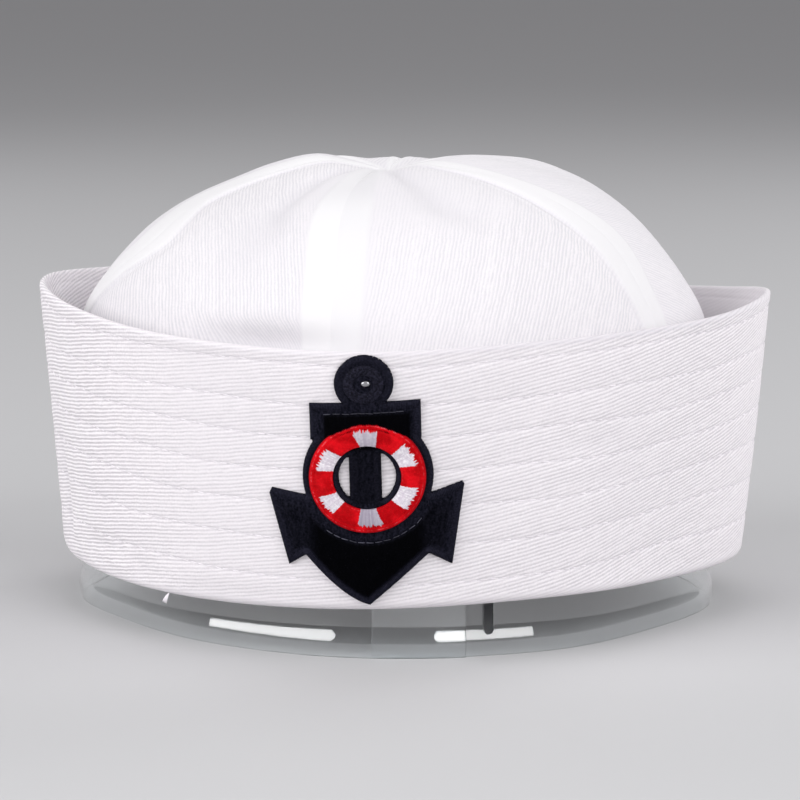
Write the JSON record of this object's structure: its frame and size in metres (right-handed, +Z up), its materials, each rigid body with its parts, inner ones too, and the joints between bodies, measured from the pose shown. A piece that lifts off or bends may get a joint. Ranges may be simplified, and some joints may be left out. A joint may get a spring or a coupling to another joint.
{
  "type": "sailor hat on a clear display ring",
  "caption": "White cotton sailor hat: domed gored crown, quilted brim turned up all round, embroidered anchor and lifebuoy patch, standing on a ring of clear plastic strip.",
  "frame": {"origin": "on the surface that the ring stands on, under the middle of the whole hat's bounding box", "axes": "+Z up, -Y towards the front with the patch, +X to the right of someone who looks at the patch"},
  "size_m": [0.2026, 0.2098, 0.1239],
  "materials": {
    "clear_plastic": "clear glossy plastic sheet, colourless",
    "brim_cotton": "white cotton twill with rows of stitching, slightly puckered",
    "crown_cotton": "white cotton with a fine rib, smoother and whiter over the seam allowances",
    "navy_embroidery": "very dark navy satin stitch thread, low sheen",
    "red_white_embroidery": "red satin stitch thread with silvery white blocks",
    "bright_pin": "small bright steel pin head"
  },
  "bodies": {
    "root": {"stand_strip": "clear_plastic", "brim": "brim_cotton", "crown_gore_1": "crown_cotton", "crown_gore_2": "crown_cotton", "crown_gore_3": "crown_cotton", "crown_gore_4": "crown_cotton", "crown_gore_5": "crown_cotton", "crown_gore_6": "crown_cotton", "patch_anchor": "navy_embroidery", "patch_lifebuoy": "red_white_embroidery", "patch_eye_ring": "navy_embroidery", "patch_eye_pin": "bright_pin"}
  },
  "joints": []
}
